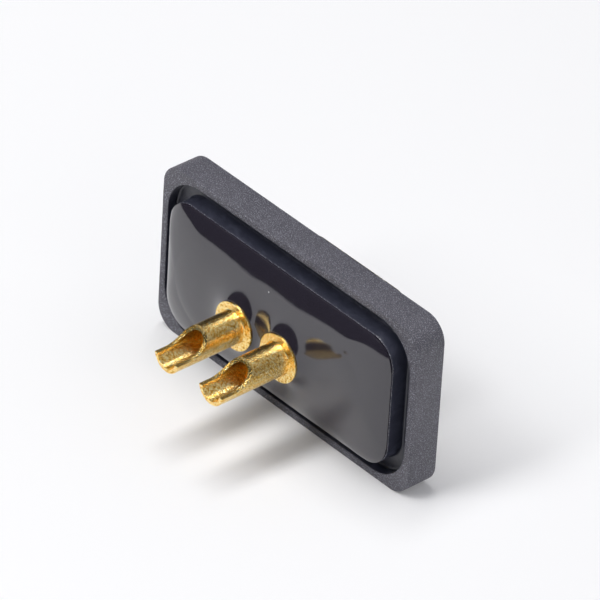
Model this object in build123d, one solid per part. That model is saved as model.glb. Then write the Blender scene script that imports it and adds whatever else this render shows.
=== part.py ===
from build123d import *
import os
from math import asin, cos, exp, hypot, log, radians, sin, tan

# A panel connector with two power sockets in a nine-way D-shaped shell. A black moulded frame
# carries the shells, and black epoxy seals the solder side.
#
# Everything is drawn looking at the solder side: x along the connector, y up its height and
# z away from the panel, with z = 0 on the face that meets the panel. stand_up() then turns
# each piece so that the mating side looks along +Y and the solder cups along -Y.

# Pressed steel shells, in millimetres
sheet = 0.4
shell_width = 16.33
shell_height = 7.9
shell_corner = 2.6
shell_reach = 6.17
shell_root = 0.3
side_angle = 10
skirt_step_sideways = 1.475
skirt_step_upwards = 1.41
skirt_corner = 3.3
skirt_depth = 3.1
flange_ledge = 0.89
flange_corner = 1.6

# Fixing inserts, bored to the minor diameter of a #4-40 thread
insert_room = 2.855
insert_to_flange_end = 2.91
insert_radius = 2.3
insert_neck_radius = 2.0
insert_length = 5.2
insert_closed_end = 0.3
thread_radius = 1.18

# Moulded frame
end_border = 3.97
side_border = 3.825
frame_depth = 3.75
frame_corner = 2.6
rim_width = 0.87
moat_width = 1.57
moat_depth = 1.25
island_corner = 3.0
cup_wall = 0.8
cup_wall_rise = 0.8
web_thickness = 1.2

# Panel seal and the groove that holds it
groove_edge = 1.03
groove_corner = 3.2
groove_width = 1.8
groove_depth = 1.3
seal_proud = 0.45
seal_edge = 0.5

# Moulded insulators
front_face_recess = 0.17
front_edge = 0.25
collar_depth = 1.2
lip_thickness = 0.55
entry_clearance = 0.3
entry_chamfer = 0.35
tower_wall = 0.6
tower_cover = 0.6

# Epoxy, in the shape of a liquid: held at the cup's edge, domed, and drawn up around the contacts
epoxy_edge = 1.0
epoxy_crown = 1.82
epoxy_inset = 0.03
capillary_length = 2.1
corner_growth = 0.8
meniscus_climb = 0.83
meniscus_reach = 1.5
surface_step = 0.6

# Power contacts
contact_pitch = 6.86
body_radius = 2.45
socket_radius = 1.8
socket_depth = 7.1
slot_width = 0.4
slot_count = 4
land_length = 0.88
flange_radius = 2.71
flange_thickness = 0.25
barrel_radius = 1.8
barrel_length = 8.75
barrel_root = 0.15
cup_bore_radius = 1.35
cup_bore_depth = 7.15
drill_point = 0.78
scoop_radius = 3.46
scoop_below_axis = 0.26
scoop_run = 1.36

# Hood over the socket's tines, and the clip that holds the contact in
hood_sheet = 0.18
hood_tip = 0.2
hood_mouth_clearance = 0.3
clip_sheet = 0.2
clip_length = 3.0
clip_lead = 1.25
clip_bend = 0.45
clip_slit = 0.9
tine_flare = 0.25
tine_gap = 1.0
tine_count = 4

# Clearances between pieces that were assembled
slip = 0.05
close_slip = 0.02

# Sizes that follow
skirt_width = shell_width + 2 * skirt_step_sideways
skirt_height = shell_height + 2 * skirt_step_upwards
fixing_pitch = skirt_width + 2 * insert_room
flange_length = fixing_pitch + 2 * insert_to_flange_end
flange_height = skirt_height + 2 * flange_ledge
frame_length = flange_length + 2 * end_border
frame_height = flange_height + 2 * side_border
island_length = frame_length - 2 * (rim_width + moat_width)
island_height = frame_height - 2 * (rim_width + moat_width)
moat_corner = island_corner + moat_width
moat_floor = frame_depth - moat_depth
groove_length = frame_length - 2 * groove_edge - groove_width
groove_height = frame_height - 2 * groove_edge - groove_width
cup_top = frame_depth + cup_wall_rise
pocket_floor = 2 * sheet
cup_floor = pocket_floor + web_thickness
skirt_end = pocket_floor + skirt_depth
collar_end = sheet + collar_depth
epoxy_edge_level = frame_depth + epoxy_edge
epoxy_top = epoxy_edge_level + epoxy_crown
thread_depth = insert_length - insert_closed_end - thread_radius / 2
cavity_radius = body_radius + slip
tower_radius = cavity_radius + tower_wall
tower_end = epoxy_top - tower_cover
flange_front = epoxy_top + meniscus_climb
flange_back = flange_front + flange_thickness
cup_tip = flange_back + barrel_length
block_front = front_face_recess - shell_reach
lip_back = block_front + lip_thickness
hood_front = lip_back + slip
tines_front = hood_front + hood_tip + close_slip
tine_radius = body_radius - hood_sheet - close_slip
clip_start = collar_end - clip_lead
clip_end = clip_start + clip_length
clip_radius = body_radius - clip_sheet
groove_start = clip_start - slip
groove_end = clip_end + slip
tines_back = groove_start - land_length
insert_at = fixing_pitch / 2
contact_at = contact_pitch / 2
half_length = island_length / 2 - epoxy_inset
half_height = island_height / 2 - epoxy_inset


def prism(outline, low, high):
    """A flat outline made solid between two heights along z."""
    return Pos(0, 0, low) * extrude(outline, amount=high - low)


def rod(radius, low, high, x=0.0):
    """A round bar along z."""
    return Pos(x, 0, low) * Cylinder(radius, high - low, align=(Align.CENTER, Align.CENTER, Align.MIN))


def turned(points):
    """A body turned about z from its half section, given as (radius, z) points."""
    outline = Polyline([(radius, 0, z) for radius, z in points], close=True)
    return revolve(make_face(outline), axis=Axis.Z)


def radial_cut(reach, width, low, high, angle):
    """A straight slot's tool: a bar that reaches out from the z axis at an angle."""
    bar = Box(reach, width, high - low, align=(Align.MIN, Align.CENTER, Align.MIN))
    return Pos(0, 0, low) * Rot(0, 0, angle) * bar


def d_outline(width, height, corner):
    """The D shape, wide side up, with its greatest width and height and its corners' radius."""
    lean = tan(radians(side_angle))
    top = width / 2 + corner * (lean + 1 / cos(radians(side_angle)) - 1)
    foot = top - height * lean
    half = height / 2
    outline = Polygon((-top, half), (-foot, -half), (foot, -half), (top, half), align=None)
    return fillet(outline.vertices(), corner)


def d_inside(width, height, corner, inset):
    """The same D shape, drawn in by an equal distance all round."""
    return d_outline(width - 2 * inset, height - 2 * inset, corner - inset)


def island_outline(inset=0.0):
    """The raised cup's outline, drawn in all round by inset."""
    return RectangleRounded(island_length - 2 * inset, island_height - 2 * inset, island_corner - inset)


def ring_outline(length, height, corner, width):
    """A rounded frame of even width about its centre line."""
    half = width / 2
    outer = RectangleRounded(length + width, height + width, corner + half)
    return outer - RectangleRounded(length - width, height - width, corner - half)


def edges_at(part, z, half_x, half_y):
    """The edges that lie at one height, inside a box about the centre."""
    level = part.edges().filter_by(lambda e: abs(e.bounding_box().min.Z - z) < 1e-4)
    level = level.filter_by(lambda e: abs(e.bounding_box().max.Z - z) < 1e-4)
    middle = CenterOf.BOUNDING_BOX
    return level.filter_by(lambda e: abs(e.center(middle).X) < half_x and abs(e.center(middle).Y) < half_y)


def make_housing():
    """Frame, moat and raised cup in one moulding."""
    body = prism(RectangleRounded(frame_length, frame_height, frame_corner), 0, frame_depth)
    well = RectangleRounded(island_length + 2 * moat_width, island_height + 2 * moat_width, moat_corner)
    body -= prism(well, moat_floor, frame_depth)
    body += prism(island_outline(), moat_floor, cup_top)
    body -= prism(island_outline(cup_wall), cup_floor, cup_top)
    pocket = RectangleRounded(flange_length + 2 * slip, flange_height + 2 * slip, flange_corner + slip)
    body -= prism(pocket, 0, pocket_floor)
    body -= prism(d_inside(skirt_width, skirt_height, skirt_corner, -slip), pocket_floor, cup_floor)
    for side in (-1, 1):
        body -= rod(insert_radius + slip, pocket_floor, cup_floor, side * insert_at)
    groove = ring_outline(groove_length, groove_height, groove_corner, groove_width)
    return body - prism(groove, 0, groove_depth)


def make_panel_seal():
    """Rubber seal that stands a little out of its groove."""
    ring = ring_outline(groove_length, groove_height, groove_corner, groove_width - 2 * slip)
    seal = prism(ring, -seal_proud, groove_depth)
    return fillet(edges_at(seal, -seal_proud, groove_length, groove_height), seal_edge)


def make_front_shell():
    """Pressed shell: the flange that the panel meets, and the D-shaped nose around the sockets."""
    shell = prism(RectangleRounded(flange_length, flange_height, flange_corner), 0, sheet)
    shell += prism(d_outline(shell_width, shell_height, shell_corner), -shell_reach, sheet)
    shell = fillet(edges_at(shell, 0, shell_width / 2 + sheet, shell_height / 2 + sheet), shell_root)
    shell -= prism(d_inside(shell_width, shell_height, shell_corner, sheet), -shell_reach, sheet)
    for side in (-1, 1):
        shell -= rod(insert_neck_radius, 0, sheet, side * insert_at)
    return shell


def make_rear_shell():
    """Pressed shell behind it: a second flange, and the skirt that holds the insulators."""
    shell = prism(RectangleRounded(flange_length, flange_height, flange_corner), sheet, pocket_floor)
    shell += prism(d_outline(skirt_width, skirt_height, skirt_corner), pocket_floor, skirt_end)
    shell -= prism(d_inside(skirt_width, skirt_height, skirt_corner, sheet), sheet, skirt_end)
    for side in (-1, 1):
        shell -= rod(insert_neck_radius, sheet, pocket_floor, side * insert_at)
    return shell


def make_front_insulator():
    """Block that fills the D-shaped nose, with a collar trapped behind the front flange."""
    block = prism(d_inside(shell_width, shell_height, shell_corner, sheet + slip), block_front, sheet)
    block = chamfer(edges_at(block, block_front, shell_width, shell_height), front_edge)
    block += prism(d_inside(skirt_width, skirt_height, skirt_corner, sheet + slip), sheet, collar_end)
    entry_radius = socket_radius + entry_clearance
    entry = turned([(0, block_front), (entry_radius + entry_chamfer, block_front),
                    (entry_radius, block_front + entry_chamfer), (entry_radius, lip_back), (0, lip_back)])
    for side in (-1, 1):
        block -= rod(cavity_radius, lip_back, collar_end, side * contact_at)
        block -= Pos(side * contact_at, 0, 0) * entry
    return block


def make_rear_insulator():
    """Block behind the first, with a tower around each contact."""
    block = prism(d_inside(skirt_width, skirt_height, skirt_corner, sheet + slip), collar_end, skirt_end)
    for side in (-1, 1):
        block += rod(tower_radius, skirt_end, tower_end, side * contact_at)
    for side in (-1, 1):
        block -= rod(cavity_radius, collar_end, tower_end, side * contact_at)
        block -= rod(body_radius + tine_flare + slip, collar_end, groove_end, side * contact_at)
    return block


def make_insert(side):
    """Clinch nut with a closed end, tapped from the mating side."""
    nut = rod(insert_neck_radius, 0, pocket_floor) + rod(insert_radius, pocket_floor, insert_length)
    nut -= turned([(0, 0), (thread_radius, 0), (thread_radius, thread_depth),
                   (0, insert_length - insert_closed_end)])
    return Pos(side * insert_at, 0, 0) * nut


def scoop_cutter():
    """The milling cutter's path that opens the solder cup: down from above, then out past the tip."""
    across = 4 * barrel_radius
    start = cup_tip - scoop_run
    plunge = Pos(0, scoop_radius - scoop_below_axis, start) * Rot(0, 90, 0) * Cylinder(scoop_radius, across)
    pass_out = Box(across, 2 * scoop_radius, 2 * scoop_run, align=(Align.CENTER, Align.MIN, Align.MIN))
    return plunge + Pos(0, -scoop_below_axis, start) * pass_out


def make_contact(side):
    """Turned contact: a slotted socket in front, a thin flange, and a scooped solder cup."""
    groove_radius = clip_radius - close_slip
    part = turned([(0, tines_front), (tine_radius, tines_front), (tine_radius, tines_back),
                   (body_radius, tines_back), (body_radius, groove_start), (groove_radius, groove_start),
                   (groove_radius, groove_end), (body_radius, groove_end), (body_radius, flange_front),
                   (flange_radius, flange_front), (flange_radius, flange_back), (barrel_radius, flange_back),
                   (barrel_radius, cup_tip), (0, cup_tip)])
    barrel_foot = edges_at(part, flange_back, barrel_radius, barrel_radius).sort_by(SortBy.LENGTH)[0]
    part = fillet(barrel_foot, barrel_root)
    part -= rod(socket_radius, tines_front, tines_front + socket_depth)
    bore_bottom = cup_tip - cup_bore_depth
    part -= turned([(0, cup_tip), (cup_bore_radius, cup_tip), (cup_bore_radius, bore_bottom),
                    (0, bore_bottom - drill_point)])
    for number in range(slot_count):
        angle = (number + 0.5) * 360 / slot_count
        part -= radial_cut(body_radius, slot_width, tines_front, tines_back, angle)
    return Pos(side * contact_at, 0, 0) * (part - scoop_cutter())


def make_hood(side):
    """Thin closed-entry sleeve over the socket's tines."""
    inner = tine_radius + close_slip
    mouth = socket_radius + hood_mouth_clearance
    back = tines_back - slip
    hood = turned([(mouth, hood_front), (inner + hood_sheet, hood_front), (inner + hood_sheet, back),
                   (inner, back), (inner, hood_front + hood_tip), (mouth, hood_front + hood_tip)])
    return Pos(side * contact_at, 0, 0) * hood


def make_clip(side):
    """Split spring sleeve in the contact's groove, its tines flared against the rear insulator."""
    outer = clip_radius + clip_sheet
    bend = collar_end + clip_bend
    flared = outer + tine_flare
    clip = turned([(clip_radius, clip_start), (outer, clip_start), (outer, bend), (flared, clip_end),
                   (flared - clip_sheet, clip_end), (clip_radius, bend)])
    clip -= radial_cut(2 * outer, clip_slit, clip_start, clip_end, 0)
    for number in range(1, tine_count):
        clip -= radial_cut(2 * outer, tine_gap, bend, clip_end, number * 360 / tine_count)
    return Pos(side * contact_at, 0, 0) * clip


def last_holding(test, low, high):
    """The last place from low to high where a test still holds."""
    for _ in range(30):
        middle = (low + high) / 2
        if test(middle):
            low = middle
        else:
            high = middle
    return low


def distance_in(x, y):
    """How far the level line through a point has moved in from the epoxy's edge."""
    def reached(inset):
        corner = min(island_corner - epoxy_inset + corner_growth * inset, half_height - inset)
        past_x = abs(x) - (half_length - inset - corner)
        past_y = abs(y) - (half_height - inset - corner)
        return hypot(max(past_x, 0), max(past_y, 0)) + min(max(past_x, past_y), 0) < corner
    return last_holding(reached, -half_height / 4, half_height - close_slip / 100)


def edge_drop(distance):
    """How far a liquid held at its edge lies below its level top, from the distance to the edge."""
    edge_slope = 2 * asin(epoxy_crown / (2 * capillary_length))
    if distance < 0:
        return epoxy_crown - distance * tan(edge_slope)

    def away(slope):
        return capillary_length * (log(tan(slope / 4)) + 2 * cos(slope / 2))
    slope = last_holding(lambda s: away(edge_slope) - away(s) > distance, 1e-6, edge_slope)
    return 2 * capillary_length * sin(slope / 2)


def epoxy_level(x, y):
    """Height of the epoxy: the dome, and what climbs the contacts to their flanges."""
    inset = distance_in(x, y)
    dome = epoxy_top - edge_drop(inset) - edge_drop(2 * half_height - inset)
    free = 1
    for side in (-1, 1):
        away = hypot(x - side * contact_at, y) - flange_radius
        free *= 1 - exp(-max(away, body_radius - flange_radius) / meniscus_reach)
    climbed = flange_front - close_slip
    return climbed - (climbed - dome) * free


def epoxy_body():
    """Everything under the epoxy's surface, a smooth face through points of even spacing."""
    columns = round(2 * half_length / surface_step)
    rows = round(2 * half_height / surface_step)
    past = surface_step / 6
    xs = [(half_length + past) * (2 * column / columns - 1) for column in range(columns + 1)]
    ys = [(half_height + past) * (2 * row / rows - 1) for row in range(rows + 1)]
    points = [[Vector(x, y, epoxy_level(x, y)) for y in ys] for x in xs]
    surface = Face.make_surface_from_array_of_points(points, tol=close_slip)
    return Solid.extrude(surface, Vector(0, 0, pocket_floor - flange_back))


def make_potting():
    """Epoxy that fills the cup, stands domed above its edge and climbs the contacts."""
    cap = prism(island_outline(epoxy_inset), cup_top, flange_back) & epoxy_body()
    fill = cap + prism(island_outline(cup_wall), cup_floor, cup_top)
    fill -= prism(d_outline(skirt_width, skirt_height, skirt_corner), cup_floor, skirt_end)
    for side in (-1, 1):
        fill -= rod(tower_radius, skirt_end, tower_end, side * contact_at)
        fill -= rod(body_radius, tower_end, flange_front, side * contact_at)
        fill -= rod(flange_radius + slip, flange_front - close_slip, flange_back, side * contact_at)
        fill -= rod(insert_radius, cup_floor, insert_length, side * insert_at)
    return fill


def stand_up(part):
    """Turn a piece so that the solder side looks along -Y and the height along +Z."""
    return Plane.XZ.location * part


pieces = {
    "housing": make_housing(),
    "panel_seal": make_panel_seal(),
    "front_shell": make_front_shell(),
    "rear_shell": make_rear_shell(),
    "front_insulator": make_front_insulator(),
    "rear_insulator": make_rear_insulator(),
    "potting": make_potting(),
}
for side, word in ((-1, "left"), (1, "right")):
    pieces["threaded_insert_" + word] = make_insert(side)
    pieces["contact_" + word] = make_contact(side)
    pieces["contact_hood_" + word] = make_hood(side)
    pieces["retention_clip_" + word] = make_clip(side)

os.makedirs("parts", exist_ok=True)
for name, piece in pieces.items():
    export_step(stand_up(piece), "parts/" + name + ".step")
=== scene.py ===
from math import asin, cos, log, pi, radians, sin, tan

import bmesh
import bpy
import numpy as np
from mathutils import Matrix, Vector
from mathutils.geometry import delaunay_2d_cdt


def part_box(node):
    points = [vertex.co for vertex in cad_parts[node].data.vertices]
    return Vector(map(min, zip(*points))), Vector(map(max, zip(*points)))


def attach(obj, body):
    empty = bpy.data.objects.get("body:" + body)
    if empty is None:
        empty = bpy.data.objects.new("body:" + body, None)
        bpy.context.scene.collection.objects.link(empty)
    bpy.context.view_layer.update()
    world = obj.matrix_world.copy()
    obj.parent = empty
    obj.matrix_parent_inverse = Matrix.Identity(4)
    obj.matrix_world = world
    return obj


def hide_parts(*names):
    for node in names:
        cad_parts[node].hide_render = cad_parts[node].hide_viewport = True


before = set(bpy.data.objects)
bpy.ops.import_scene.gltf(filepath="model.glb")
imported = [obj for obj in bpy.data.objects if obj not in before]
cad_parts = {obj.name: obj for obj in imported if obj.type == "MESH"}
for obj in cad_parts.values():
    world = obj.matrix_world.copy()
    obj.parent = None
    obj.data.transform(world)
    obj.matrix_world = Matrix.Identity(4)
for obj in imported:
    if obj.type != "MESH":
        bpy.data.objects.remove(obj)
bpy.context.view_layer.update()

# Sizes are in millimetres. Everything is drawn looking at the solder side, as (across, up, out):
# across along the connector, up its height, and out away from the panel, with out = 0 on the
# face that meets the panel. stand() turns that to the row frame in metres.
MM = 0.001

# Steps in a corner seen from above, and in an edge's quarter round
CORNER_STEPS = 20
EDGE_STEPS = 4


def drawn_box(node):
    """A node's lowest and highest corner as (across, up, out) in millimetres."""
    low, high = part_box(node)
    return Vector((low.x, low.z, -high.y)) / MM, Vector((high.x, high.z, -low.y)) / MM


housing_low, housing_high = drawn_box("housing")
shell_low, shell_high = drawn_box("front_shell")
_, rear_shell_high = drawn_box("rear_shell")
front_block_low, _ = drawn_box("front_insulator")
_, tower_high = drawn_box("rear_insulator")
contact_low, contact_high = drawn_box("contact_right")
hood_low, hood_high = drawn_box("contact_hood_right")
insert_low, insert_high = drawn_box("threaded_insert_right")
seal_low, seal_high = drawn_box("panel_seal")

# Clearance between fitted pieces, and how far a cutting tool runs past what it cuts
slip = 0.05
overrun = 0.1

# Moulded frame
frame_length = housing_high.x - housing_low.x
frame_height = housing_high.y - housing_low.y
cup_top = housing_high.z
cup_wall_rise = 0.8
frame_depth = cup_top - cup_wall_rise
frame_corner = 2.6
rim_width = 0.87
moat_width = 1.57
moat_depth = 1.25
island_corner = 3.0
cup_wall = 0.8
web_thickness = 1.2
mould_edge = 0.12
mould_root = 0.22
# Depths below the cup's top over which its rounded edge gets a painted highlight
edge_highlight_start = 0.16
edge_highlight_end = 0.02

# Pressed shells
sheet = 0.4
shell_reach = -shell_low.z
flange_length = shell_high.x - shell_low.x
flange_height = shell_high.y - shell_low.y
flange_corner = 1.6
shell_width = 16.33
shell_height = 7.9
shell_corner = 2.6
shell_root = 0.3
flange_back_edge = 0.05
flange_face_edge = 0.12
nose_lip_edge = 0.15
nose_bore_edge = 0.1
side_angle = radians(10)
skirt_step_sideways = 1.475
skirt_step_upwards = 1.41
skirt_corner = 3.3

# Panel seal and its groove
seal_width = 1.7
groove_width = 1.8
groove_corner = 3.2
groove_depth = 1.3
seal_edge = 0.5
seal_back_edge = 0.05

# Contacts and what holds them
contact_at = (contact_low.x + contact_high.x) / 2
flange_radius = (contact_high.y - contact_low.y) / 2
body_radius = 2.45
barrel_radius = 1.8
barrel_root = 0.15
flange_thickness = 0.25
barrel_length = 8.75
cup_bore_radius = 1.35
cup_bore_depth = 7.15
drill_point = 0.78
cup_bottom_edge = 0.1
scoop_radius = 3.46
scoop_below_axis = 0.26
scoop_run = 1.36
socket_radius = 1.8
socket_depth = 7.1
socket_mouth_edge = 0.08
slot_width = 0.4
slot_count = 4
clip_groove_radius = 2.23
clip_groove_start = 0.3
clip_groove_end = 3.4
land_length = 0.88
tower_wall = 0.6
turned_edge = 0.04
hood_sheet = 0.18
hood_tip = 0.2
hood_clearance = 0.02
hood_mouth_clearance = 0.3
hood_edge = 0.03
hood_mouth_edge = 0.05
hood_front_edge = 0.1
hood_bend = 0.15

# Inserts with a #4-40 thread: 0.635 mm pitch
insert_at = (insert_low.x + insert_high.x) / 2
insert_radius = (insert_high.y - insert_low.y) / 2
insert_neck_radius = 2.0
insert_closed_end = 0.3
thread_pitch = 0.635
thread_minor = 1.18
thread_major = 1.42
thread_lead_in = 0.3
thread_chamfer = 0.12
thread_chamfer_edge = 0.04
insert_edge = 0.1
insert_end_edge = 0.25

# Front insulator
front_edge = 0.25
collar_depth = 1.2
lip_thickness = 0.55
entry_clearance = 0.3
entry_chamfer = 0.35
entry_edge = 0.1

# Epoxy: a pinned edge, a domed top, and a meniscus that climbs each contact to its flange
epoxy_edge_level = frame_depth + 1.0
epoxy_inset = 0.03
epoxy_crown = 1.82
capillary_length = 2.1
corner_growth = 0.8
meniscus_reach = 1.2
meniscus_drop = 0.02

# Sizes that follow
island_length = frame_length - 2 * (rim_width + moat_width)
island_height = frame_height - 2 * (rim_width + moat_width)
moat_corner = island_corner + moat_width
moat_floor = frame_depth - moat_depth
pocket_floor = 2 * sheet
cup_floor = pocket_floor + web_thickness
skirt_width = shell_width + 2 * skirt_step_sideways
skirt_height = shell_height + 2 * skirt_step_upwards
skirt_end = rear_shell_high.z
tower_end = tower_high.z
tower_radius = body_radius + slip + tower_wall
flange_back = contact_high.z - barrel_length
flange_front = flange_back - flange_thickness
cup_tip = contact_high.z
tines_front = contact_low.z
tine_radius = body_radius - hood_sheet - hood_clearance
tines_back = clip_groove_start - land_length
block_front = front_block_low.z
groove_length = seal_high.x - seal_low.x - seal_width
groove_height = seal_high.y - seal_low.y - seal_width


def stand(points):
    """Drawn points as points of the row frame, in metres."""
    return [Vector((across * MM, -out * MM, up * MM)) for across, up, out in points]


def arc(turn, steps):
    """Angles from 0 to turn."""
    return [turn * step / steps for step in range(steps + 1)]


def rounded(corners, radius):
    """A polygon's outline, anticlockwise, with each corner an arc."""
    points = []
    for place, corner in enumerate(corners):
        before = (corners[place - 1] - corner).normalized()
        after = (corners[(place + 1) % len(corners)] - corner).normalized()
        half = before.angle(after) / 2
        centre = corner + (before + after).normalized() * radius / sin(half)
        start = corner + before * radius / tan(half) - centre
        for angle in arc(pi - 2 * half, CORNER_STEPS):
            points.append(centre + Matrix.Rotation(angle, 2) @ start)
    return points


def rectangle(width, height, corner):
    """A rounded rectangle's outline, as a function of an inset."""
    def outline(inset):
        x = width / 2 - inset
        y = height / 2 - inset
        return rounded([Vector((-x, y)), Vector((-x, -y)), Vector((x, -y)), Vector((x, y))],
                       corner - inset)
    return outline


def d_shape(width, height, corner):
    """A D shape's outline, wide side up, as a function of an inset, from its greatest width and height."""
    lean = tan(side_angle)

    def outline(inset):
        y = height / 2 - inset
        top = width / 2 - inset + (corner - inset) * (lean + 1 / cos(side_angle) - 1)
        foot = top - 2 * y * lean
        return rounded([Vector((-top, y)), Vector((-foot, -y)), Vector((foot, -y)), Vector((top, y))],
                       corner - inset)
    return outline


def island_edge(inset):
    """The island's outline, moved in by an inset."""
    return rectangle(island_length - 2 * inset, island_height - 2 * inset, island_corner - inset)


def groove_edge(width):
    """The groove's middle line, moved out by half a width, or in where the width is negative."""
    return rectangle(groove_length + width, groove_height + width, groove_corner + width / 2)


def walls(stations):
    """Rings of a moulded or pressed section. A station is (outline, out, edge radius), and from one
    to the next either the outline or the level stays, so each edge is a quarter round."""
    rings = []
    for place, (outline, out, radius) in enumerate(stations):
        before = stations[place - 1]
        after = stations[(place + 1) % len(stations)]
        if radius == 0:
            rings.append([(*point, out) for point in outline(0)])
            continue
        wall, flat = (before, after) if before[0] is outline else (after, before)
        level = radius if wall[1] > out else -radius
        width = max(point.x for point in outline(0))
        inward = radius if max(point.x for point in flat[0](0)) < width else -radius
        turns = arc(pi / 2, EDGE_STEPS)
        if wall is after:
            turns.reverse()
        for turn in turns:
            ring = outline(inward * (1 - cos(turn)))
            rings.append([(*point, out + level * (1 - sin(turn))) for point in ring])
    return rings


def soft_path(points):
    """A half section's polyline of (radius, out, edge radius), with its corners rounded."""
    path = []
    for place, (radius, out, edge) in enumerate(points):
        corner = Vector((radius, out))
        if edge == 0 or place in (0, len(points) - 1):
            path.append(corner)
            continue
        before = (Vector(points[place - 1][:2]) - corner).normalized()
        after = (Vector(points[place + 1][:2]) - corner).normalized()
        half = before.angle(after) / 2
        centre = corner + (before + after).normalized() * edge / sin(half)
        start = corner + before * edge / tan(half) - centre
        way = 1 if before.cross(after) < 0 else -1
        for angle in arc(pi - 2 * half, EDGE_STEPS):
            path.append(centre + Matrix.Rotation(way * angle, 2) @ start)
    return path


def join_rings(bm, first, second):
    """Faces between two rings of vertices."""
    for place in range(len(first)):
        quad = (first[place - 1], first[place], second[place], second[place - 1])
        bm.faces.new(list(dict.fromkeys(quad)))


def lofted(rings, closed=True):
    """A mesh through rings of equal count, joined round to the first, or capped at both ends."""
    bm = bmesh.new()
    made = [[bm.verts.new(point) for point in stand(ring)] for ring in rings]
    for first, second in zip(made, made[1:]):
        join_rings(bm, first, second)
    if closed:
        join_rings(bm, made[-1], made[0])
    else:
        bm.faces.new(made[0])
        bm.faces.new(made[-1])
    return bm


def lathed(path, across, segments=128):
    """A turned body about a contact's or an insert's axis. Points on the axis become poles."""
    bm = bmesh.new()
    rings = []
    for radius, out in path:
        if radius < 1e-6:
            rings.append([bm.verts.new(stand([(across, 0, out)])[0])] * segments)
            continue
        turns = [2 * pi * place / segments for place in range(segments)]
        ring = [(across + radius * cos(turn), radius * sin(turn), out) for turn in turns]
        rings.append([bm.verts.new(point) for point in stand(ring)])
    for first, second in zip(rings, rings[1:]):
        join_rings(bm, first, second)
    if rings[0][0] is not rings[0][1]:
        join_rings(bm, rings[-1], rings[0])
    return bm


def finished(bm, name):
    """A mesh object from a bmesh, normals outward, smooth except at its sharp edges."""
    bmesh.ops.recalc_face_normals(bm, faces=bm.faces)
    mesh = bpy.data.meshes.new(name)
    bm.to_mesh(mesh)
    bm.free()
    piece = bpy.data.objects.new(name, mesh)
    bpy.context.collection.objects.link(piece)
    shade(piece)
    return piece


def shade(piece, sharp=35):
    """Smooth shading that breaks at sharp edges."""
    piece.data.shade_smooth()
    piece.data.set_sharp_from_angle(angle=radians(sharp))


def settle(piece):
    """Replace a piece's mesh by what its modifiers make of it."""
    graph = bpy.context.evaluated_depsgraph_get()
    mesh = bpy.data.meshes.new_from_object(piece.evaluated_get(graph))
    piece.modifiers.clear()
    piece.data = mesh


def cut(piece, *tools, sharp=35):
    """Take tools away from a piece, and delete them."""
    for tool in tools:
        modifier = piece.modifiers.new("cut", "BOOLEAN")
        modifier.object = tool
        modifier.solver = "EXACT"
    settle(piece)
    for tool in tools:
        bpy.data.objects.remove(tool)
    shade(piece, sharp)


def rod(radius, low, high, across, segments=128):
    """A plain round tool along out."""
    path = [(0, low), (radius, low), (radius, high), (0, high)]
    return finished(lathed(path, across, segments), "tool")


def block(outline, low, high):
    """A straight tool with the given outline."""
    return finished(lofted(walls([(outline, low, 0), (outline, high, 0)]), closed=False), "tool")


def keep(piece, node, material):
    """The piece takes a CAD node's place and the record's finish for it."""
    piece.data.materials.clear()
    piece.data.materials.append(material)
    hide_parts(node)
    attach(piece, "root")


# Materials

def linear(code):
    """An sRGB hex colour as linear RGBA."""
    parts = [int(code[place:place + 2], 16) / 255 for place in (1, 3, 5)]
    return [c / 12.92 if c <= 0.04045 else ((c + 0.055) / 1.055) ** 2.4 for c in parts] + [1.0]


def add(tree, kind, inputs=None, **settings):
    """A node with its settings. Inputs are values, or other nodes' outputs to link."""
    node = tree.nodes.new(kind)
    for name, value in settings.items():
        setattr(node, name, value)
    for name, value in (inputs or {}).items():
        if isinstance(value, bpy.types.NodeSocket):
            tree.links.new(value, node.inputs[name])
        else:
            node.inputs[name].default_value = value
    return node


def ramp(tree, factor, *stops):
    """A colour ramp from (position, hex) stops."""
    node = add(tree, "ShaderNodeValToRGB", {"Fac": factor})
    elements = node.color_ramp.elements
    while len(elements) < len(stops):
        elements.new(0.5)
    for element, (position, code) in zip(elements, stops):
        element.position = position
        element.color = linear(code)
    return node.outputs["Color"]


def levels(tree, value, low, high, to_low, to_high):
    """A value's range mapped to another, clamped."""
    node = add(tree, "ShaderNodeMapRange", {"Value": value, "From Min": low, "From Max": high,
                                            "To Min": to_low, "To Max": to_high})
    return node.outputs["Result"]


def maths(tree, operation, first, second):
    """Two numbers worked into one."""
    return add(tree, "ShaderNodeMath", {0: first, 1: second}, operation=operation).outputs[0]


def mixed(tree, factor, first, second):
    """A colour that goes from first to second with a factor."""
    node = add(tree, "ShaderNodeMix", {"Factor": factor, "A": first, "B": second}, data_type="RGBA")
    return node.outputs["Result"]


def started(name):
    """A material with an empty tree, and its object coordinates."""
    material = bpy.data.materials.new(name)
    material.use_nodes = True
    tree = material.node_tree
    tree.nodes.clear()
    place = add(tree, "ShaderNodeTexCoord").outputs["Object"]
    return material, tree, place


def noise(tree, place, grain, detail=2.0, roughness=0.5, **inputs):
    """Noise whose lumps are about grain millimetres across."""
    node = add(tree, "ShaderNodeTexNoise", {"Vector": place, "Scale": 1 / (grain * MM), "Detail": detail,
                                            "Roughness": roughness, **inputs})
    return node.outputs["Fac"]


def bump(tree, height, depth, strength=1.0, under=None):
    """Relief of the given depth in millimetres, over another relief where one is given."""
    inputs = {"Height": height, "Distance": depth * MM, "Strength": strength}
    if under:
        inputs["Normal"] = under
    return add(tree, "ShaderNodeBump", inputs).outputs["Normal"]


def surface(tree, **inputs):
    """The principled shader and the output."""
    names = {name.replace("_", " "): value for name, value in inputs.items()}
    shader = add(tree, "ShaderNodeBsdfPrincipled", names)
    add(tree, "ShaderNodeOutputMaterial", {"Surface": shader.outputs["BSDF"]})


def stretched(tree, place, along):
    """Coordinates for turning marks: short along the axis, long around it."""
    node = add(tree, "ShaderNodeMapping", {"Vector": place, "Scale": (1, along, 1)})
    return node.outputs["Vector"]


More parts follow.
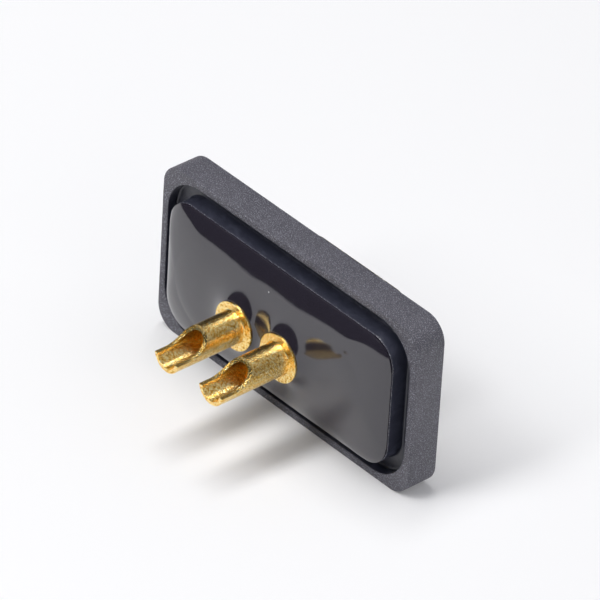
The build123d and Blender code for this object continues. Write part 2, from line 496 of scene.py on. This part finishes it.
def blend(tree, factor, first, second):
    """A number that goes from first to second with a factor."""
    return levels(tree, factor, 0.0, 1.0, first, second)


def make_pbt():
    """Glass-filled PBT: spark-eroded outside, dark grey, dull, with pale specks painted as glints; the
    moat and the cup's wall come from a smoother part of the mould, satin, with pale flow swirls, in a
    darker colour that is painted shade of the recess, and a painted highlight on the cup wall's top edge."""
    material, tree, place = started("glass-filled PBT, spark-eroded")
    satin_and_shade = add(tree, "ShaderNodeAttribute", attribute_name="satin_and_shade").outputs["Fac"]
    grain = noise(tree, place, 0.14, detail=3.0, roughness=0.7)
    cloud = noise(tree, place, 6.0)
    painted_glints = noise(tree, place, 0.1, detail=1.0)
    swirl = noise(tree, place, 1.6, detail=3.0, Distortion=1.5)
    eroded = ramp(tree, cloud, (0.3, "#4c4b54"), (0.7, "#55545d"))
    # Pale specks painted as glints of the eroded grain
    eroded = mixed(tree, levels(tree, painted_glints, 0.54, 0.66, 0.0, 0.8), eroded, linear("#9a9aa4"))
    # Satin faces of the moat and the cup's outer wall, in a darker colour that is painted shade of the
    # recess
    smooth = ramp(tree, swirl, (0.45, "#2f313e"), (0.8, "#424452"))
    # A painted highlight, speckled, that brightens towards the top of the cup wall's rounded edge
    height = add(tree, "ShaderNodeSeparateXYZ", {"Vector": place}).outputs["Y"]
    edge = levels(tree, height, -(cup_top - edge_highlight_start) * MM, -(cup_top - edge_highlight_end) * MM, 0.0, 1.0)
    edge_highlight = maths(tree, "MULTIPLY", edge, levels(tree, painted_glints, 0.54, 0.62, 0.0, 0.9))
    smooth = mixed(tree, edge_highlight, smooth, linear("#b4b4bc"))
    colour = mixed(tree, satin_and_shade, eroded, smooth)
    relief = bump(tree, grain, 0.09, strength=blend(tree, satin_and_shade, 1.0, 0.12))
    surface(tree, Base_Color=colour, Roughness=blend(tree, satin_and_shade, 0.5, 0.3), IOR=1.55, Normal=relief)
    return material


def make_epoxy():
    """Potting epoxy, cured as poured: black and glossy, with a faint waviness and dust in its skin."""
    material, tree, place = started("black potting epoxy")
    wave = noise(tree, place, 2.5, detail=1.0)
    dust = add(tree, "ShaderNodeTexVoronoi", {"Vector": place, "Scale": 1 / (2.4 * MM)}).outputs
    rare = levels(tree, add(tree, "ShaderNodeSeparateXYZ", {"Vector": dust["Color"]}).outputs["X"],
                  0.82, 0.84, 0.0, 1.0)
    speck = maths(tree, "MULTIPLY", levels(tree, dust["Distance"], 0.018, 0.035, 0.9, 0.0), rare)
    colour = mixed(tree, speck, linear("#2a2730"), linear("#e8e8ec"))
    relief = bump(tree, wave, 0.02)
    surface(tree, Base_Color=colour, Roughness=0.11, IOR=1.6, Specular_IOR_Level=0.75, Normal=relief)
    return material


def make_insulator_pbt():
    """Unfilled PBT from a polished mould: black with a satin skin."""
    material, tree, place = started("moulded black PBT")
    grain = noise(tree, place, 0.3, detail=3.0)
    relief = bump(tree, grain, 0.01)
    surface(tree, Base_Color=linear("#1c1c20"), Roughness=0.35, IOR=1.5, Normal=relief)
    return material


def make_silicone():
    """Moulded silicone rubber: black, soft sheen, slightly dusty."""
    material, tree, place = started("moulded silicone rubber")
    grain = noise(tree, place, 0.4, detail=4.0)
    colour = ramp(tree, grain, (0.3, "#26262a"), (0.7, "#2e2e33"))
    relief = bump(tree, grain, 0.012)
    surface(tree, Base_Color=colour, Roughness=0.55, IOR=1.42, Normal=relief)
    return material


def make_nickel_steel():
    """Pressed steel, nickel plated: warm grey, satin, with faint drawing marks."""
    material, tree, place = started("nickel-plated steel")
    marks = noise(tree, stretched(tree, place, 0.08), 0.12, detail=3.0)
    relief = bump(tree, marks, 0.004)
    rough = levels(tree, noise(tree, place, 2.0, detail=4.0), 0.3, 0.7, 0.2, 0.3)
    surface(tree, Base_Color=linear("#cfc8bc"), Metallic=1.0, Roughness=rough, Normal=relief)
    return material


def make_insert_metal():
    """Turned brass under nickel: a paler grey with turning rings."""
    material, tree, place = started("nickel-plated brass")
    rings = noise(tree, stretched(tree, place, 30), 2.0, detail=2.0)
    relief = bump(tree, rings, 0.004)
    surface(tree, Base_Color=linear("#c9c3b4"), Metallic=1.0, Roughness=0.25, Normal=relief)
    return material


def make_gold():
    """Gold plate over turned brass: grainy, mottled partly in its own tone and partly with painted shade
    and glints, with fine rings left by the lathe.
    """
    material, tree, place = started("gold-plated brass, turned")
    rings = noise(tree, stretched(tree, place, 14), 1.4, detail=3.0, roughness=0.6)
    grain = noise(tree, place, 0.12, detail=2.0, roughness=0.6)
    relief = bump(tree, grain, 0.028, under=bump(tree, rings, 0.004))
    # Brown to near-white mottle: partly the plate's uneven tone, partly painted shade and glints of its
    # grain
    mottle_shade_and_glints = ramp(tree, noise(tree, stretched(tree, place, 1.6), 0.25, detail=3.0, roughness=0.75),
                   (0.37, "#b47c22"), (0.46, "#fcc852"), (0.58, "#ffefb8"))
    surface(tree, Base_Color=mottle_shade_and_glints, Metallic=1.0, Roughness=0.25, Normal=relief)
    return material


def make_stainless():
    """Drawn stainless steel: cool grey, nearly bright."""
    material, tree, place = started("drawn stainless steel")
    marks = noise(tree, stretched(tree, place, 0.05), 0.1, detail=2.0)
    surface(tree, Base_Color=linear("#c2c2c4"), Metallic=1.0, Roughness=0.22,
            Normal=bump(tree, marks, 0.003))
    return material


def make_spring_copper():
    """Stamped copper alloy: reddish brass, satin."""
    material, tree, place = started("stamped copper alloy")
    marks = noise(tree, place, 0.2, detail=3.0)
    surface(tree, Base_Color=linear("#d8a878"), Metallic=1.0, Roughness=0.3,
            Normal=bump(tree, marks, 0.004))
    return material


pbt = make_pbt()
epoxy = make_epoxy()
insulator_pbt = make_insulator_pbt()
silicone = make_silicone()
nickel_steel = make_nickel_steel()
insert_metal = make_insert_metal()
gold = make_gold()
stainless = make_stainless()
spring_copper = make_spring_copper()


# Moulded frame

def make_housing():
    """Outer wall, rim, moat and cup, and at the panel side the flange's pocket and the seal's groove."""
    outside = rectangle(frame_length, frame_height, frame_corner)
    rim_inside = rectangle(frame_length - 2 * rim_width, frame_height - 2 * rim_width, moat_corner)
    island = island_edge(0)
    cup_inside = island_edge(cup_wall)
    window = d_shape(skirt_width + 2 * slip, skirt_height + 2 * slip, skirt_corner + slip)
    pocket = rectangle(flange_length + 2 * slip, flange_height + 2 * slip, flange_corner + slip)
    groove_inside = groove_edge(-groove_width)
    groove_outside = groove_edge(groove_width)
    rings = walls([
        (outside, 0, mould_edge), (outside, frame_depth, mould_edge),
        (rim_inside, frame_depth, mould_edge), (rim_inside, moat_floor, mould_root),
        (island, moat_floor, mould_root), (island, cup_top, mould_edge),
        (cup_inside, cup_top, mould_edge), (cup_inside, cup_floor, mould_edge),
        (window, cup_floor, 0), (window, pocket_floor, 0),
        (pocket, pocket_floor, 0), (pocket, 0, mould_edge),
        (groove_inside, 0, mould_edge), (groove_inside, groove_depth, mould_edge),
        (groove_outside, groove_depth, mould_edge), (groove_outside, 0, mould_edge),
    ])
    piece = finished(lofted(rings), "frame_moulding")
    cut(piece, *[rod(insert_radius + slip, pocket_floor - overrun, cup_floor + overrun, side * insert_at)
                 for side in (-1, 1)])
    keep(piece, "housing", pbt)
    # Faces of the moat and the cup's outer wall: a satin finish, and a darker colour that is painted shade
    satin_and_shade = piece.data.attributes.new("satin_and_shade", "FLOAT", "FACE")
    margin = 0.01
    for face in piece.data.polygons:
        across = abs(face.center.x) / MM
        up = abs(face.center.z) / MM
        out = -face.center.y / MM
        in_moat = (across < frame_length / 2 - rim_width + margin
                   and up < frame_height / 2 - rim_width + margin)
        in_island = across < island_length / 2 + margin and up < island_height / 2 + margin
        below_rim = out < frame_depth - mould_edge / 2
        satin_and_shaded = in_moat and moat_floor - margin < out and (below_rim or in_island)
        satin_and_shade.data[face.index].value = float(satin_and_shaded)


# Epoxy surface

def edge_drop(distance, angle):
    """How far the surface near a pinned edge lies below the level surface, from the distance to the
    edge. From one slope phi to another, distance / length changes as ln tan(phi / 4) + 2 cos(phi / 2)."""
    def away(slope):
        return log(tan(slope / 4)) + 2 * cos(slope / 2)
    slopes = np.concatenate([np.geomspace(1e-7, 0.02, 400), np.linspace(0.0201, angle, 1200)])
    reach = np.array([away(angle) - away(slope) for slope in slopes]) * capillary_length
    drops = 2 * capillary_length * np.sin(slopes / 2)
    return np.interp(distance, reach[::-1], drops[::-1])


edge_angle = 2 * asin(epoxy_crown / (2 * capillary_length))
half_length = island_length / 2 - epoxy_inset
half_height = island_height / 2 - epoxy_inset


def edge_corner(inset):
    """Level lines round off as they leave the edge."""
    return np.minimum(island_corner - epoxy_inset + corner_growth * inset, half_height - inset)


def distance_in(across, up):
    """How far the level line through a point has moved in from the edge."""
    halvings = 40
    low = np.zeros_like(across)
    high = np.full_like(across, half_height - 1e-4)
    for _ in range(halvings):
        middle = (low + high) / 2
        corner = edge_corner(middle)
        x = np.abs(across) - (half_length - middle - corner)
        y = np.abs(up) - (half_height - middle - corner)
        outside = np.hypot(np.maximum(x, 0), np.maximum(y, 0)) + np.minimum(np.maximum(x, y), 0) - corner
        low = np.where(outside < 0, middle, low)
        high = np.where(outside < 0, high, middle)
    return low


def epoxy_level(across, up):
    """Height of the epoxy: the plateau, less the drop to its edge, plus what climbs the contacts."""
    inset = distance_in(across, up)
    drop = edge_drop(inset, edge_angle) + edge_drop(2 * half_height - inset, edge_angle)
    dome = epoxy_edge_level + epoxy_crown - drop
    free = 1
    for side in (-1, 1):
        away = np.hypot(across - side * contact_at, up) - flange_radius
        free = free * (1 - np.exp(-np.maximum(away, 0) / meniscus_reach))
    climbed = flange_front - meniscus_drop
    return climbed - (climbed - dome) * free


def from_contact(point):
    """Distance to the nearer contact's axis."""
    return min((point - Vector((side * contact_at, 0))).length for side in (-1, 1))


def make_potting():
    """Rings of faces from the cup's floor to a little way in from the edge, then a triangulated top."""
    rim_steps = 30
    rim_reach = 3.0
    rim_grading = 1.3
    rim_spacing = 0.35
    insets = [rim_reach * (step / rim_steps) ** rim_grading for step in range(rim_steps + 1)]

    def edge_ring(inset):
        corner = float(edge_corner(np.array(inset)))
        return rectangle(2 * (half_length - inset), 2 * (half_height - inset), corner)(0)

    first = edge_ring(0)
    counts = [max(1, round((point - first[place - 1]).length / rim_spacing))
              for place, point in enumerate(first)]

    def spaced(ring):
        points = []
        for place, point in enumerate(ring):
            before = ring[place - 1]
            points += [before.lerp(point, step / counts[place]) for step in range(1, counts[place] + 1)]
        return points

    cup_inside = island_edge(cup_wall)
    rings = [
        [(*point, cup_floor) for point in spaced(cup_inside(0))],
        [(*point, cup_top) for point in spaced(cup_inside(0))],
        [(*point, cup_top) for point in spaced(first)],
    ]
    for inset in insets:
        ring = spaced(edge_ring(inset))
        across = np.array([point.x for point in ring])
        up = np.array([point.y for point in ring])
        level = epoxy_level(across, up)
        if inset == 0:
            level[:] = epoxy_edge_level
        rings.append(list(zip(across, up, level)))

    bm = bmesh.new()
    made = [[bm.verts.new(point) for point in stand(ring)] for ring in rings]
    for low_ring, high_ring in zip(made, made[1:]):
        join_rings(bm, low_ring, high_ring)
    bm.faces.new(made[0])

    # The rest of the top: rings round each contact's hole, and a plain grid elsewhere
    border = [Vector(point[:2]) for point in rings[-1]]
    plan = list(border)
    count = len(border)
    edges = [(place, (place + 1) % count) for place in range(count)]
    around = 96
    near_contact = 4.8
    first_step = 0.07
    step_growth = 0.1
    middle_gap = 0.03
    rim_gap = 0.1
    for side in (-1, 1):
        start = len(plan)
        radius = body_radius
        while radius < near_contact:
            for place in range(around):
                turn = 2 * pi * place / around
                point = Vector((side * contact_at + radius * cos(turn), radius * sin(turn)))
                inside = point.x * side > middle_gap and abs(point.y) < half_height - rim_reach - rim_gap
                if radius == body_radius or inside:
                    plan.append(point)
            if radius == body_radius:
                radius = flange_radius
            else:
                radius += first_step + step_growth * (radius - flange_radius)
        edges += [(start + place, start + (place + 1) % around) for place in range(around)]
    spacing = 0.3
    rows = 20
    columns = 60
    grid_gap = 0.12
    tower_overlap = 0.02
    for row in range(-rows, rows + 1):
        up = row * spacing
        for column in range(-columns, columns + 1):
            across = column * spacing
            point = Vector((across, up))
            if from_contact(point) < near_contact:
                continue
            if float(distance_in(np.array([across]), np.array([up]))[0]) > rim_reach + grid_gap:
                plan.append(point)
    verts, _, faces, source, _, _ = delaunay_2d_cdt(plan, edges, [], 1, 1e-5)
    across = np.array([point.x for point in verts])
    up = np.array([point.y for point in verts])
    level = epoxy_level(across, up)
    top = []
    for place, point in enumerate(stand(zip(across, up, level))):
        origin = source[place][0] if source[place] else count
        top.append(made[-1][origin] if origin < count else bm.verts.new(point))
    for face in faces:
        middle = sum((verts[place] for place in face), Vector((0, 0))) / len(face)
        if from_contact(middle) > body_radius * cos(pi / around) - 1e-3:
            bm.faces.new([top[place] for place in face])
    holes = [edge for edge in bm.edges if edge.is_boundary]
    walls_made = bmesh.ops.extrude_edge_only(bm, edges=holes)["geom"]
    low = [vert for vert in walls_made if isinstance(vert, bmesh.types.BMVert)]
    for vert in low:
        vert.co.y = -(tower_end - tower_overlap) * MM
    bmesh.ops.holes_fill(bm, edges=[edge for edge in bm.edges if edge.is_boundary])
    piece = finished(bm, "potting_epoxy")
    tools = [block(d_shape(skirt_width, skirt_height, skirt_corner), cup_floor - overrun, skirt_end)]
    for side in (-1, 1):
        tools.append(rod(tower_radius, skirt_end - overrun, tower_end, side * contact_at))
        tools.append(rod(insert_radius, cup_floor - overrun, insert_high.z, side * insert_at))
    cut(piece, *tools, sharp=40)
    keep(piece, "potting", epoxy)


# Contacts

def make_contact(word, side):
    """A turned body, a scoop cut from its solder cup, and slots between the socket's tines."""
    across = side * contact_at
    bore_bottom = cup_tip - cup_bore_depth
    edge = turned_edge
    path = soft_path([
        (0, bore_bottom - drill_point, 0), (cup_bore_radius, bore_bottom, cup_bottom_edge),
        (cup_bore_radius, cup_tip, edge), (barrel_radius, cup_tip, edge),
        (barrel_radius, flange_back, barrel_root), (flange_radius, flange_back, edge),
        (flange_radius, flange_front, edge), (body_radius, flange_front, edge),
        (body_radius, clip_groove_end, edge), (clip_groove_radius, clip_groove_end, edge),
        (clip_groove_radius, clip_groove_start, edge), (body_radius, clip_groove_start, edge),
        (body_radius, tines_back, edge), (tine_radius, tines_back, edge),
        (tine_radius, tines_front, edge), (socket_radius, tines_front, socket_mouth_edge),
        (socket_radius, tines_front + socket_depth, edge), (0, tines_front + socket_depth, 0),
    ])
    piece = finished(lathed(path, across, segments=160), "power_contact_" + word)

    scoop_steps = 72
    start = cup_tip - scoop_run
    axis_up = scoop_radius - scoop_below_axis
    profile = [(axis_up - scoop_radius * cos(turn), start - scoop_radius * sin(turn))
               for turn in arc(pi / 2, scoop_steps)]
    past = cup_tip + overrun
    beyond = barrel_radius + overrun
    profile += [(axis_up, past), (-scoop_below_axis, past)]
    rings = [[(across + x, up, out) for up, out in profile] for x in (-beyond, beyond)]
    tools = [finished(lofted(rings, closed=False), "tool")]
    for number in range(slot_count):
        turn = (number + 0.5) * 2 * pi / slot_count
        along = Vector((cos(turn), sin(turn)))
        beside = Vector((-sin(turn), cos(turn))) * slot_width / 2
        end = along * (body_radius + overrun)
        corners = [beside, -beside, end - beside, end + beside]
        rings = [[(across + corner.x, corner.y, out) for corner in corners]
                 for out in (tines_front - overrun, tines_back)]
        tools.append(finished(lofted(rings, closed=False), "tool"))
    cut(piece, *tools)
    keep(piece, "contact_" + word, gold)


def make_hood(word, side):
    """A drawn sleeve over the tines, turned in at its mouth."""
    inner = tine_radius + hood_clearance
    outer = inner + hood_sheet
    mouth = socket_radius + hood_mouth_clearance
    front = hood_low.z
    back = hood_high.z
    path = soft_path([
        (mouth, front + hood_tip, hood_mouth_edge), (mouth, front, hood_front_edge),
        (outer, front, hood_bend), (outer, back, hood_edge),
        (inner, back, hood_edge), (inner, front + hood_tip, hood_mouth_edge),
    ])
    piece = finished(lathed(path, side * contact_at), "contact_sleeve_" + word)
    keep(piece, "contact_hood_" + word, stainless)


# Shells, insulator and seal at the panel side

def make_front_shell():
    """Flange and D-shaped nose, pressed from one sheet, with a hole for each insert's neck."""
    flange = rectangle(flange_length, flange_height, flange_corner)
    nose = d_shape(shell_width, shell_height, shell_corner)
    bore = d_shape(shell_width - 2 * sheet, shell_height - 2 * sheet, shell_corner - sheet)
    rings = walls([
        (flange, sheet, flange_back_edge), (flange, 0, flange_face_edge), (nose, 0, shell_root),
        (nose, -shell_reach, nose_lip_edge), (bore, -shell_reach, nose_bore_edge),
        (bore, sheet, nose_bore_edge),
    ])
    piece = finished(lofted(rings), "front_pressing")
    cut(piece, *[rod(insert_neck_radius, -overrun, sheet + overrun, side * insert_at)
                 for side in (-1, 1)])
    keep(piece, "front_shell", nickel_steel)


def make_front_insulator():
    """A block with a collar, and a chamfered entry and a bore for each contact."""
    inset = sheet + slip
    front = d_shape(shell_width - 2 * inset, shell_height - 2 * inset, shell_corner - inset)
    collar = d_shape(skirt_width - 2 * inset, skirt_height - 2 * inset, skirt_corner - inset)
    bevel = [[(*point, block_front + level) for point in front(front_edge - level)]
             for level in (0, front_edge)]
    rings = bevel + walls([(front, sheet, 0), (collar, sheet, 0), (collar, sheet + collar_depth, 0)])
    piece = finished(lofted(rings, closed=False), "front_insulator_block")
    entry = socket_radius + entry_clearance
    lip_back = block_front + lip_thickness
    tools = []
    for side in (-1, 1):
        path = soft_path([
            (0, block_front - overrun, 0), (entry + entry_chamfer + overrun, block_front - overrun, 0),
            (entry, block_front + entry_chamfer, entry_edge), (entry, lip_back + overrun, 0),
            (0, lip_back + overrun, 0),
        ])
        tools.append(finished(lathed(path, side * contact_at), "tool"))
        tools.append(rod(body_radius + slip, lip_back, sheet + collar_depth + overrun, side * contact_at))
    cut(piece, *tools, sharp=25)
    keep(piece, "front_insulator", insulator_pbt)


def make_seal():
    """A ring that fills the groove and stands proud of it, rounded where it meets the panel."""
    outer = groove_edge(seal_width)
    inner = groove_edge(-seal_width)
    rings = walls([(outer, seal_high.z, seal_back_edge), (outer, seal_low.z, seal_edge),
                   (inner, seal_low.z, seal_edge), (inner, seal_high.z, seal_back_edge)])
    keep(finished(lofted(rings), "seal_ring"), "panel_seal", silicone)


# Inserts and their threads

def thread_tree(material):
    """Geometry nodes: a V-shaped ridge that follows a spiral, closed at both ends."""
    root_share = 0.44
    crest_share = 0.06
    sunk_share = 0.2
    tree = bpy.data.node_groups.new("thread ridge", "GeometryNodeTree")
    for name in ("Turns", "Pitch", "Radius", "Depth", "Across", "Start"):
        tree.interface.new_socket(name, in_out="INPUT", socket_type="NodeSocketFloat")
    tree.interface.new_socket("Geometry", in_out="OUTPUT", socket_type="NodeSocketGeometry")
    given = add(tree, "NodeGroupInput").outputs
    length = maths(tree, "MULTIPLY", given["Turns"], given["Pitch"])
    spiral = add(tree, "GeometryNodeCurveSpiral", {
        "Resolution": 96, "Rotations": given["Turns"], "Start Radius": given["Radius"],
        "End Radius": given["Radius"], "Height": length})
    half = maths(tree, "MULTIPLY", given["Pitch"], root_share)
    tip = maths(tree, "MULTIPLY", given["Pitch"], crest_share)
    back = maths(tree, "MULTIPLY", given["Depth"], -sunk_share)
    corners = [(back, maths(tree, "MULTIPLY", half, -1)), (back, half), (given["Depth"], tip),
               (given["Depth"], maths(tree, "MULTIPLY", tip, -1))]
    points = [add(tree, "ShaderNodeCombineXYZ", {"X": x, "Y": y}).outputs[0] for x, y in corners]
    profile = add(tree, "GeometryNodeCurvePrimitiveQuadrilateral", {
        f"Point {number + 1}": point for number, point in enumerate(points)}, mode="POINTS")
    upright = add(tree, "GeometryNodeSetCurveNormal", {"Curve": spiral.outputs["Curve"]}, mode="Z_UP")
    ridge = add(tree, "GeometryNodeCurveToMesh", {
        "Curve": upright.outputs["Curve"], "Profile Curve": profile.outputs["Curve"], "Fill Caps": True})
    place = add(tree, "ShaderNodeCombineXYZ", {"X": given["Across"], "Y": given["Start"]}).outputs[0]
    turned = add(tree, "GeometryNodeTransform", {
        "Geometry": ridge.outputs["Mesh"], "Rotation": (pi / 2, 0, 0), "Translation": place})
    painted = add(tree, "GeometryNodeSetMaterial", {
        "Geometry": turned.outputs["Geometry"], "Material": material})
    add(tree, "NodeGroupOutput", {"Geometry": painted.outputs["Geometry"]})
    return tree


def make_insert(word, side, tree):
    """A turned body bored to the thread's major diameter, and the thread's ridge as a spiral."""
    across = side * insert_at
    end = insert_high.z
    depth = end - insert_closed_end - thread_minor / 2
    piece = finished(lathed(soft_path([
        (0, end - insert_closed_end, 0), (thread_major, depth, 0), (thread_major, thread_lead_in, 0),
        (thread_major + thread_chamfer, 0, thread_chamfer_edge), (insert_neck_radius, 0, insert_edge),
        (insert_neck_radius, pocket_floor, 0), (insert_radius, pocket_floor, insert_edge),
        (insert_radius, end, insert_end_edge), (0, end, 0),
    ]), across), "clinch_nut_" + word)
    keep(piece, "threaded_insert_" + word, insert_metal)

    ridge = finished(bmesh.new(), "thread_" + word)
    modifier = ridge.modifiers.new("ridge", "NODES")
    modifier.node_group = tree
    values = {"Turns": (depth - thread_lead_in) / thread_pitch, "Pitch": thread_pitch * MM,
              "Radius": thread_major * MM, "Depth": (thread_major - thread_minor) * MM,
              "Across": across * MM, "Start": -thread_lead_in * MM}
    for item in tree.interface.items_tree:
        if item.in_out == "INPUT":
            modifier[item.identifier] = values[item.name]
    settle(ridge)
    bm = bmesh.new()
    bm.from_mesh(ridge.data)
    bmesh.ops.recalc_face_normals(bm, faces=bm.faces)
    bm.to_mesh(ridge.data)
    bm.free()
    shade(ridge, 30)
    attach(ridge, "root")


make_housing()
make_potting()
make_front_shell()
make_front_insulator()
make_seal()
ridge_tree = thread_tree(insert_metal)
for side, word in ((-1, "left"), (1, "right")):
    make_contact(word, side)
    make_hood(word, side)
    make_insert(word, side, ridge_tree)

# CAD solids that stay, sealed inside
for node, material in (("rear_shell", nickel_steel), ("rear_insulator", insulator_pbt),
                       ("retention_clip_left", spring_copper), ("retention_clip_right", spring_copper)):
    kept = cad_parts[node]
    kept.data.materials.clear()
    kept.data.materials.append(material)


# Floor, lights and camera

def make_floor():
    """White paper, lifted to white for the camera and in gloss, that keeps its shadow."""
    reach = 3.0
    level = housing_low.y * MM
    mesh = bpy.data.meshes.new("floor")
    corners = [(x * reach, y * reach, level) for x, y in ((-1, -1), (1, -1), (1, 1), (-1, 1))]
    mesh.from_pydata(corners, [], [(0, 1, 2, 3)])
    floor = bpy.data.objects.new("floor", mesh)
    bpy.context.collection.objects.link(floor)
    material, tree, _ = started("white paper")
    paths = add(tree, "ShaderNodeLightPath").outputs
    seen = paths["Is Camera Ray"]
    for ray in ("Is Glossy Ray", "Is Transmission Ray"):
        seen = maths(tree, "MAXIMUM", seen, paths[ray])
    glow = blend(tree, seen, 0.0, 0.1)
    surface(tree, Base_Color=linear("#f0f0f1"), Roughness=0.9, Specular_IOR_Level=0.0,
            Emission_Color=linear("#ffffff"), Emission_Strength=glow)
    mesh.materials.append(material)


def make_world():
    """A pale studio above, behind and to the right of the connector, and a dark room at the left front."""
    world = bpy.data.worlds.new("studio")
    bpy.context.scene.world = world
    world.use_nodes = True
    tree = world.node_tree
    tree.nodes.clear()
    pale_side = (0.55, 0.4, 0.73)
    direction = add(tree, "ShaderNodeTexCoord").outputs["Generated"]
    towards = add(tree, "ShaderNodeVectorMath", {0: direction, 1: pale_side}, operation="DOT_PRODUCT")
    room = ramp(tree, towards.outputs["Value"], (0.0, "#1c1c20"), (0.3, "#56565a"), (0.6, "#8e8e92"),
                (1.0, "#b4b4b8"))
    paths = add(tree, "ShaderNodeLightPath").outputs
    colour = mixed(tree, paths["Is Camera Ray"], room, linear("#fbfbfd"))
    background = add(tree, "ShaderNodeBackground", {"Color": colour})
    add(tree, "ShaderNodeOutputWorld", {"Surface": background.outputs["Background"]})


def make_light(name, direction, distance, length, width, power):
    """A rectangular soft light that faces the connector, its length running front to back."""
    data = bpy.data.lights.new(name, "AREA")
    data.shape = "RECTANGLE"
    data.size = width
    data.size_y = length
    data.energy = power
    light = bpy.data.objects.new(name, data)
    way = Vector(direction).normalized()
    beside = Vector((0, 1, 0)).cross(way).normalized()
    turn = Matrix((beside, way.cross(beside), way)).transposed().to_4x4()
    light.matrix_world = Matrix.Translation(way * distance) @ turn
    bpy.context.collection.objects.link(light)


def make_camera():
    """The camera that was fitted to the photograph: its angles, distance and lens."""
    azimuth = radians(47.047)
    elevation = radians(35.246)
    roll = radians(3.466)
    distance = 695.5
    lens = 413.89
    middle = Vector((0, -1.25, 0))
    to_right = -0.311
    to_top = 2.022
    back = Vector((sin(azimuth) * cos(elevation), -cos(azimuth) * cos(elevation), sin(elevation)))
    level_right = Vector((cos(azimuth), sin(azimuth), 0))
    level_up = back.cross(level_right)
    right = cos(roll) * level_right + sin(roll) * level_up
    up = cos(roll) * level_up - sin(roll) * level_right
    data = bpy.data.cameras.new("camera")
    data.sensor_width = 36
    data.lens = lens
    camera = bpy.data.objects.new("camera", data)
    stand_at = middle + to_right * right + to_top * up + distance * back
    turn = Matrix((right, up, back)).transposed().to_4x4()
    camera.matrix_world = Matrix.Translation(stand_at * MM) @ turn
    data.clip_start = 0.01
    data.clip_end = 20
    bpy.context.collection.objects.link(camera)
    bpy.context.scene.camera = camera


make_floor()
make_world()
make_light("overhead", (-0.22, -0.36, 1), distance=1.0, length=1.6, width=0.2, power=9.8)
make_light("side", (1, -0.25, 0.45), distance=1.0, length=0.6, width=0.5, power=1.0)
make_light("spot", (-3, -6.3, 9.2), distance=0.5, length=0.1, width=0.1, power=0.25)
make_camera()
bpy.context.scene.view_settings.view_transform = "Standard"
